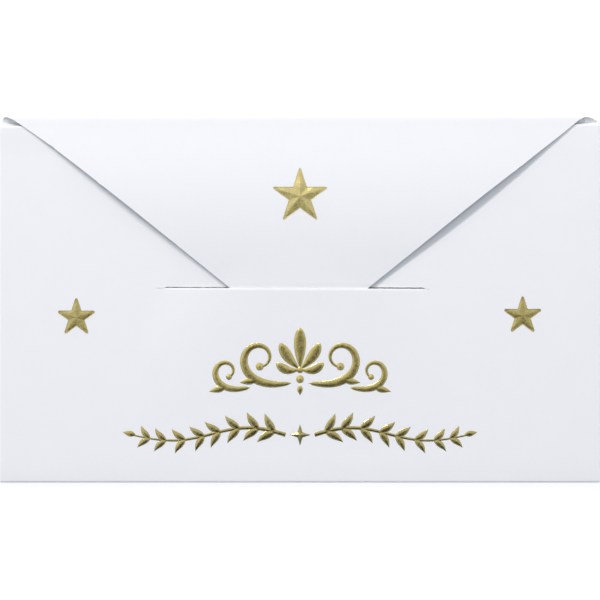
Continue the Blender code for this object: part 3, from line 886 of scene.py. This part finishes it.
def make_glue_flap_sheet(name, side):
    """A side's glue flap with the fold that carries it."""
    fold = SIDE_FOLD_LOW.x
    low, high = SIDE_FOLD_LOW.y, SIDE_FOLD_HIGH.y
    inner = GLUE_FLAP_LOW.x
    taper = GLUE_FLAP_TAPERS[0] if side < 0 else GLUE_FLAP_TAPERS[1]

    def build(skin):
        columns = []
        for turn in FOLD_TURNS:
            x = fold + SIDE_RADIUS * math.cos(turn)
            columns.append((x, BACK_MIDDLE + SIDE_RADIUS * (1 + math.sin(turn)), 0))
        for step in range(1, 13):
            columns.append((fold + (inner - fold) * step / 12, POCKET_MIDDLE, taper * step / 12))
        add_grid(skin, [
            [(side * x, low + drop + (high - low - 2 * drop) * share, z) for x, z, drop in columns]
            for share in spread(0, 1, 0.04)
        ])

    sheet = card_sheet(f"{name}_glue_flap_sheet", build)
    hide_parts(f"{name}_glue_flap", f"{name}_side_crease")
    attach(sheet, "card")


def make_glue_film(name, side):
    """Glue rolled on in a strip: a thin film with wavering edges."""
    cut, length = GLUE_END

    def build(skin):
        rows = []
        for y in spread(GLUE_LOW.y, GLUE_HIGH.y, 0.0012):
            inset = cut * (1 - ease(min(y - GLUE_LOW.y, GLUE_HIGH.y - y) / length)) + GLUE_WAVER
            near = inset + GLUE_WAVER * noise.noise((y * GLUE_WAVER_SCALE, side * 4.0, 0))
            far = inset + GLUE_WAVER * noise.noise((y * GLUE_WAVER_SCALE, side * 9.0, 5))
            near, far = GLUE_LOW.x + near, GLUE_HIGH.x - far
            middle = (GLUE_LOW.z + GLUE_HIGH.z) / 2
            rows.append([(side * between((near, far), step / 8), y, middle) for step in range(9)])
        add_grid(skin, rows)

    film = place_piece(f"{name}_glue_film", mesh_from(f"{name}_glue_film", build), (DRIED_GLUE,))
    skin = film.modifiers.new("film", "SOLIDIFY")
    skin.thickness = GLUE_HIGH.z - GLUE_LOW.z + GLUE_SOAK
    skin.offset = 0
    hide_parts(f"{name}_glue_strip")
    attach(film, "card")


# Foil


def dented_flap(x, y):
    """The flap's face under its star, whose facets are pressed unevenly."""
    share = clamp(3 * star_share(x, y, FLAP_STAR, FLAP_STAR_SHAPE))
    swell = 0
    for across, up, reach, height in STAR_SWELLS:
        swell += height * ease(1 - math.hypot(x - FLAP_STAR[0] - across, y - FLAP_STAR[1] - up) / reach)
    return flap_face(x, y) + share * (rough(x, y, STAR_DENTS) + swell)


def add_rings(skin, rings):
    """A tube through rings of points, open at both ends; gives back its rings of corners."""
    loops = [[skin.verts.new(point) for point in ring] for ring in rings]
    for near, far in zip(loops, loops[1:]):
        for corner in range(len(near)):
            after = (corner + 1) % len(near)
            skin.faces.new((near[corner], near[after], far[after], far[corner]))
    return loops


def ribbon_body(stations, sink=FOIL_SINK, crest=RIBBON_CREST):
    """Embossed ribbon of foil along stations (x, y, heading, half width), its edges sunk in the panel."""
    side = ((1.0, 0.12), (0.92, 0.42), (0.78, 0.66), (0.56, 0.85), (0.32, 0.95), (0.14, 0.99))
    cuts = [(-cut, level) for cut, level in side] + [(0, 1.0), *reversed(side), (1.0, None), (-1.0, None)]

    def build(skin):
        rings = []
        for x, y, heading, half in stations:
            half = max(half, 0.00001)
            peak = crest * min(1, half / FULL_CREST_HALF) ** 0.8
            ring = []
            for cut, level in cuts:
                px, py = x - math.sin(heading) * half * cut, y + math.cos(heading) * half * cut
                height = front_face(px, py)
                if level is None:
                    height -= sink
                else:
                    height += peak * level + rough(px, py, FOIL_RIPPLE) * min(1, half / FULL_RIPPLE_HALF)
                ring.append((px, py, height))
            rings.append(ring)
        loops = add_rings(skin, rings)
        skin.faces.new(loops[0])
        skin.faces.new(loops[-1][::-1])

    return build


def medallion_body(outline, centre, profile, ground=front_face, sink=FOIL_SINK):
    """Embossed body whose cuts are its outline drawn in towards a centre: stars, discs and sparks."""

    def build(skin):
        rings = [[(x, y, ground(x, y) - sink) for x, y in outline]]
        for share, height in profile[:-1]:
            ring = [(between((x, centre[0]), share), between((y, centre[1]), share)) for x, y in outline]
            ripple = FOIL_RIPPLE if share > 0 else ()
            rings.append([(x, y, ground(x, y) + height + rough(x, y, ripple)) for x, y in ring])
        loops = add_rings(skin, rings)
        peak = skin.verts.new((*centre, ground(*centre) + profile[-1][1]))
        floor = skin.verts.new((*centre, ground(*centre) - sink))
        for corner in range(len(outline)):
            after = (corner + 1) % len(outline)
            skin.faces.new((loops[-1][corner], loops[-1][after], peak))
            skin.faces.new((loops[0][after], loops[0][corner], floor))

    return build


def disc_body(centre, radius, crest, sink=FOIL_SINK):
    """Embossed dot with a low border."""
    outline = [around(centre, radius, math.tau * step / DISC_STEPS) for step in range(DISC_STEPS)]
    profile = [(0, FOIL_RIM), (DISC_BORDER, FOIL_RIM * 1.8)]
    for step in range(1, 6):
        share = DISC_BORDER + (1 - DISC_BORDER) * step / 5
        profile.append((share, FOIL_RIM * 1.8 + crest * math.sin(math.pi / 2 * step / 5)))
    return medallion_body(outline, centre, profile, sink=sink)


def blade(root, heading, length, width, bow=0.0, shape=LEAF_SHAPE):
    """Stations down a leaf or petal that grows from root towards heading, in radians."""
    belly, tip, steps = shape
    cos, sin = math.cos(heading), math.sin(heading)
    stations = []
    for step in range(steps + 1):
        share = step / steps
        half = width / 2 * max(0, math.sin(math.pi * share**belly)) ** tip if 0 < step < steps else 0
        middle = bow * math.sin(math.pi * share)
        lean = math.atan2(bow * math.pi * math.cos(math.pi * share), length)
        x = root[0] + share * length * cos - middle * sin
        y = root[1] + share * length * sin + middle * cos
        stations.append((x, y, heading + lean, half))
    return stations


def curling_line(start, tilt, length, curl):
    """Points (x, y, heading) along a line that sets out at tilt and bends ever more, by curl in all."""
    x, y = start
    line = []
    for step in range(SCROLL_STEPS + 1):
        line.append((x, y, math.radians(tilt + curl * (step / SCROLL_STEPS) ** 2)))
        heading = math.radians(tilt + curl * ((step + 0.5) / SCROLL_STEPS) ** 2)
        x += length / SCROLL_STEPS * math.cos(heading)
        y += length / SCROLL_STEPS * math.sin(heading)
    return line


def mirrored(stations):
    return [(-x, y, math.pi - heading, half) for x, y, heading, half in stations]


def foil_piece(name, builds, finish, body="card"):
    """One stamped patch: its bodies overlap and are joined into one skin."""
    bodies = [placed(name, mesh_from(name, build)) for build in builds]
    for other in bodies[1:]:
        join = bodies[0].modifiers.new("join", "BOOLEAN")
        join.operation = "UNION"
        join.solver = "EXACT"
        join.object = other
    mesh = worked_mesh(bodies[0])
    for thing in bodies:
        bpy.data.objects.remove(thing)
    mesh.name = f"{name}_relief"
    mesh.materials.clear()
    mesh.shade_smooth()
    mesh.set_sharp_from_angle(angle=math.radians(16))
    relief = place_piece(f"{name}_relief", mesh, (finish,))
    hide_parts(name)
    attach(relief, body)


def star_outline(centre, shape):
    """A star's outline, its points rounded, with places along each edge."""
    radius, waist, tip = shape
    swing = math.pi / 2 - star_point(shape)[1]
    arc = []
    for turn in (-swing, -0.5 * swing, 0, 0.5 * swing, swing):
        arc.append((tip * math.sin(turn), radius - tip + tip * math.cos(turn)))
    notch_x, notch_y = star_notch(waist)
    point = steps_towards((-notch_x, notch_y), arc[0], 8) + arc
    point += steps_towards(arc[-1], (notch_x, notch_y), 8)[1:]
    outline = []
    for number in range(5):
        cos, sin = math.cos(math.radians(72 * number)), math.sin(math.radians(72 * number))
        for x, y in point:
            outline.append((centre[0] + x * cos + y * sin, centre[1] - x * sin + y * cos))
    return outline


def make_stars():
    profile = star_profile(FLAP_STAR_SHAPE, FLAP_STAR_EDGE, FLAP_STAR_PEAK)
    build = medallion_body(star_outline(FLAP_STAR, FLAP_STAR_SHAPE), FLAP_STAR, profile, dented_flap)
    foil_piece("flap_star_foil", [build], FLAP_STAR_FOIL_PAINTED_LIGHTER, "flap")
    profile = star_profile(SIDE_STAR_SHAPE, SIDE_STAR_EDGE, SIDE_STAR_PEAK)
    for name, centre in (("left", LEFT_STAR), ("right", RIGHT_STAR)):
        build = medallion_body(star_outline(centre, SIDE_STAR_SHAPE), centre, profile)
        foil_piece(f"{name}_star_foil", [build], SIDE_STAR_FOIL_PAINTED_DARKER)


def both_sides(name, ribbons, discs, finish):
    """The right-hand patch and its mirror image on the left."""
    for side_name, side in (("right", 1), ("left", -1)):
        builds = []
        for number, stations in enumerate(ribbons):
            line = stations if side > 0 else mirrored(stations)
            builds.append(ribbon_body(line, FOIL_SINK + SINK_STEP * number))
        for (x, y), radius in discs:
            builds.append(disc_body((side * x, y), radius, DISC_CREST, FOIL_SINK * 1.3))
        foil_piece(f"{side_name}_{name}_foil", builds, finish)


def make_palmette(root):
    """Petals that fan out of a boss; gives back how far they reach to the side."""
    builds = [disc_body(root, PALMETTE_BOSS, DISC_CREST * 1.3)]
    reach = 0
    for step in range(PETAL_PAIRS + 1):
        share = step / PETAL_PAIRS
        lean = math.radians(PETAL_TURN) * step
        length, width = between(PETAL_LENGTHS, share), between(PETAL_WIDTHS, share)
        stations = blade(root, math.pi / 2 - lean, length, width, -PETAL_BOW * step, PETAL_SHAPE)
        for line in [stations] if step == 0 else [stations, mirrored(stations)]:
            builds.append(ribbon_body(line, FOIL_SINK + SINK_STEP * len(builds), RIBBON_CREST * 1.2))
        reach = max([reach] + [x + half * abs(math.sin(heading)) for x, y, heading, half in stations])
    foil_piece("palmette_foil", builds, UPPER_FOIL_PAINTED_TONE)
    return reach


def scroll(start, path, size):
    """Ribbons of a scroll that swells and curls in, with a leaf off its back, and its end ball."""
    width, ball = size
    line = curling_line(start, *path)
    stations = []
    for step, (x, y, heading) in enumerate(line):
        share = step / SCROLL_STEPS
        half = (SCROLL_THIN + (width - SCROLL_THIN) * math.sin(math.pi * share**0.65) ** 1.3) / 2
        stations.append((x, y, heading, half * min(1, 0.25 + step / 3)))
    x, y, heading = line[round(SPUR_SHARE * SCROLL_STEPS)]
    spur = blade((x, y), heading + math.radians(SPUR_TURN), *SPUR_SIZE)
    return [stations, spur], [(line[-1][:2], ball)]


def make_upper_ornament():
    root = (0, ORNAMENT_MIDDLE + UPPER_ABOVE_MIDDLE)
    palmette_side = make_palmette(root)
    bead = (0, root[1] - PALMETTE_BOSS - ORNAMENT_GAP - BEAD_RADIUS)
    bead_foot = bead[1] - BEAD_RADIUS
    foil_piece("bead_foil", [disc_body(bead, BEAD_RADIUS, DISC_CREST * 1.2)], UPPER_FOIL_PAINTED_TONE)
    drop = blade((0, bead_foot - ORNAMENT_GAP), -math.pi / 2, DROP_LENGTH, DROP_WIDTH)
    foil_piece("drop_foil", [ribbon_body(drop)], UPPER_FOIL_PAINTED_TONE)

    # The volute clears the bead at its start and the palmette where it curls back
    curl = curling_line((0, 0), *VOLUTE_LINE)[SCROLL_STEPS // 2 :]
    curl_side = palmette_side + VOLUTE_SIZE[0] / 2 - min(x for x, y, heading in curl)
    start = (ORNAMENT_GAP + max(BEAD_RADIUS, curl_side), bead_foot)
    ribbons, balls = scroll(start, VOLUTE_LINE, VOLUTE_SIZE)
    both_sides("volute", ribbons, balls, UPPER_FOIL_PAINTED_TONE)

    # The tendril starts under the volute's widest place, level with its lowest
    widest = max(x + half * abs(math.sin(heading)) for x, y, heading, half in ribbons[0])
    lowest = min(y - half * abs(math.cos(heading)) for x, y, heading, half in ribbons[0])
    ribbons, balls = scroll((widest - TENDRIL_SETBACK, lowest), TENDRIL_LINE, TENDRIL_SIZE)
    both_sides("tendril", ribbons, balls, UPPER_FOIL_PAINTED_TONE)


def sprig():
    """Ribbons of the right-hand sprig: a waving stem, pairs of leaves and a leaf at its tip."""
    middle = ORNAMENT_MIDDLE - LOWER_BELOW_MIDDLE
    line = []
    for step in range(SPRIG_STEPS + 1):
        share = step / SPRIG_STEPS
        wave = SPRIG_WAVE * (1 - SPRIG_DROOP * share)
        rise = wave * math.tau * math.cos(math.tau * share)
        rise -= SPRIG_WAVE * SPRIG_DROOP * math.sin(math.tau * share)
        heading = math.atan2(rise, SPRIG_LENGTH)
        y = middle + wave * math.sin(math.tau * share)
        half = between(SPRIG_STEM_WIDTHS, share) / 2
        line.append((SPARK_RADIUS + SPRIG_GAP + share * SPRIG_LENGTH, y, heading, half))
    ribbons = [line]
    for pair in range(SPRIG_PAIRS):
        share = (pair + 0.5) / (SPRIG_PAIRS + 0.5)
        x, y, heading, half = line[round(share * SPRIG_STEPS)]
        length, width = between(LEAF_LENGTHS, share), between(LEAF_WIDTHS, share)
        for side in (1, -1):
            turn = heading + side * math.radians(LEAF_TURN)
            ribbons.append(blade((x, y), turn, length, width, -side * LEAF_BOW))
    x, y, heading, half = line[-1]
    ribbons.append(blade((x - SPRIG_STEM_WIDTHS[0], y), heading, TIP_LEAF_LENGTH, LEAF_WIDTHS[1]))
    return ribbons


def make_lower_ornament():
    middle = (0, ORNAMENT_MIDDLE - LOWER_BELOW_MIDDLE)
    radii = (SPARK_RADIUS, SPARK_WAIST) * 4
    corners = [around(middle, radius, math.tau * number / 8) for number, radius in enumerate(radii)]
    outline = []
    for here, after in zip(corners, corners[1:] + corners[:1]):
        outline += steps_towards(here, after, 3)
    foil_piece("spark_foil", [medallion_body(outline, middle, SPARK_PROFILE)], LOWER_FOIL_PAINTED_DARKER)
    both_sides("sprig", sprig(), [], LOWER_FOIL_PAINTED_DARKER)


def make_slit_fibres():
    """Torn fibres and flakes of card that bridge the slit beside the flap."""
    curve = bpy.data.curves.new("slit_fibres", "CURVE")
    curve.dimensions = "3D"
    curve.bevel_depth = FIBRE_RADIUS
    curve.bevel_resolution = 1
    curve.use_fill_caps = True
    left, right = flap_edges(FLAP_TO_SLIT)
    off_end, off_flap = FIBRE_CLEAR
    spans = ((right + off_flap, SLIT_RIGHT - off_end), (SLIT_LEFT + off_end, left - off_flap))
    for number in range(FIBRE_COUNT):
        x = between(spans[number % 2], random.random())
        lip = slit_line(x)
        far = lip + slit_gap(x) + FIBRE_HOLD
        start = Vector((x, lip - FIBRE_HOLD, front_face(x, lip - 2 * FIBRE_HOLD) - FIBRE_HOLD))
        end_x = x + random.uniform(-FIBRE_SLANT, FIBRE_SLANT)
        end = Vector((end_x, far, front_face(end_x, far + 2 * FIBRE_HOLD) - 1.2 * FIBRE_HOLD))
        if random.random() < FIBRE_TORN:
            end = start.lerp(end, 0.7) + Vector((0, 0, -0.8 * FIBRE_HOLD))
        across = random.uniform(-FIBRE_BEND, FIBRE_BEND)
        bend = Vector((across, 0, random.uniform(-FIBRE_BEND / 2, FIBRE_BEND / 5)))
        spline = curve.splines.new("POLY")
        spline.points.add(5)
        for step, point in enumerate(spline.points):
            share = step / 5
            place = start.lerp(end, share) + bend * math.sin(math.pi * share)
            point.co = (*place, 1)
            point.radius = 0.5 + 0.9 * random.random()
    holder = placed("slit_fibres_curve", curve)
    strands = worked_mesh(holder)
    bpy.data.objects.remove(holder)
    mesh = mesh_from("slit_fibres", lambda skin: skin.from_mesh(strands), NEARLY, outward=False)
    fibres = place_piece("slit_fibres", mesh, (CARD_CUT,))
    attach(fibres, "card")


# Stage


def make_world():
    """Soft light from overhead, brighter to the left of the top fold, dark over the card's foot."""
    world = bpy.data.worlds.new("studio")
    world.use_nodes = True
    tree = world.node_tree
    direction = tree.nodes.new("ShaderNodeTexCoord").outputs["Generated"]
    split = tree.nodes.new("ShaderNodeSeparateXYZ")
    tree.links.new(direction, split.inputs[0])

    def towards(way, inner, outer):
        facing = tree.nodes.new("ShaderNodeVectorMath")
        facing.operation = "DOT_PRODUCT"
        tree.links.new(direction, facing.inputs[0])
        facing.inputs[1].default_value = Vector(way).normalized()
        full, none = math.cos(math.radians(inner)), math.cos(math.radians(outer))
        return ranged(tree, facing.outputs["Value"], none, full, 0, 1)

    sideways = ranged(tree, split.outputs["X"], -SKY_SIDE, SKY_SIDE, 0, 1)
    colour = colour_between(tree, sideways, SKY_LEFT, SKY_RIGHT)
    colour = colour_between(tree, towards(*SKY_PLACE), SKY_LOW, colour)
    colour = colour_between(tree, towards(*BRIGHT_PLACE), colour, BRIGHT_SPOT)
    colour = colour_between(tree, towards(*DARK_PLACE), colour, DARK_SPOT)
    over_horizon = ranged(tree, split.outputs["Z"], *SKY_HORIZON_HEIGHT, 0, 1)
    colour = colour_between(tree, over_horizon, SKY_HORIZON, colour)
    tree.links.new(colour, tree.nodes["Background"].inputs["Color"])
    bpy.context.scene.world = world


def make_floor():
    material, tree, shader = new_material("studio_floor")
    paths = tree.nodes.new("ShaderNodeLightPath").outputs
    shown = maths(tree, "MAXIMUM", paths["Is Camera Ray"], paths["Is Glossy Ray"])
    shown = maths(tree, "MAXIMUM", shown, paths["Is Transmission Ray"])
    for label, value in (("Roughness", 0.9), ("Specular IOR Level", 0.0), ("Emission Strength", 1.0)):
        shader[label].default_value = value
    tree.links.new(colour_between(tree, shown, FLOOR_LIT, FLOOR_SHOWN), shader["Base Color"])
    tree.links.new(colour_between(tree, shown, (0, 0, 0), FLOOR_GLOW), shader["Emission Color"])

    def build(skin):
        bmesh.ops.create_grid(skin, x_segments=4, y_segments=4, size=FLOOR_SIZE / 2)

    mesh = mesh_from("studio_floor", build, outward=False)
    mesh.materials.append(material)
    floor = placed("studio_floor", mesh)
    floor.location.z = CAD_BOX[0][2] - FLOOR_GAP


def make_soft_light(name, size, power, colour, place, aim):
    """An oblong light at a place, turned towards its aim."""
    area = bpy.data.lights.new(name, "AREA")
    area.shape = "RECTANGLE"
    area.size, area.size_y = size
    area.energy = power
    area.color = colour
    light = placed(name, area)
    light.location = place
    light.rotation_euler = (place - aim).to_track_quat("Z", "Y").to_euler()
    light.visible_camera = False


def make_camera():
    lens = bpy.data.cameras.new("photo_camera")
    lens.lens = CAMERA_LENS
    lens.sensor_width = CAMERA_SENSOR
    camera = placed("photo_camera", lens)
    camera.location = CAMERA_PLACE
    bpy.context.scene.camera = camera


make_camera()
make_world()
make_floor()
make_soft_light("window_key", *WINDOW_KEY)
make_soft_light("top_glow", *TOP_GLOW)
make_back_sheet()
make_front_sheet()
make_closure_flap_sheet()
for side_name, side_sign in (("left", -1), ("right", 1)):
    make_glue_flap_sheet(side_name, side_sign)
    make_glue_film(side_name, side_sign)
make_stars()
make_upper_ornament()
make_lower_ornament()
make_slit_fibres()

bpy.context.scene.view_settings.view_transform = "Standard"
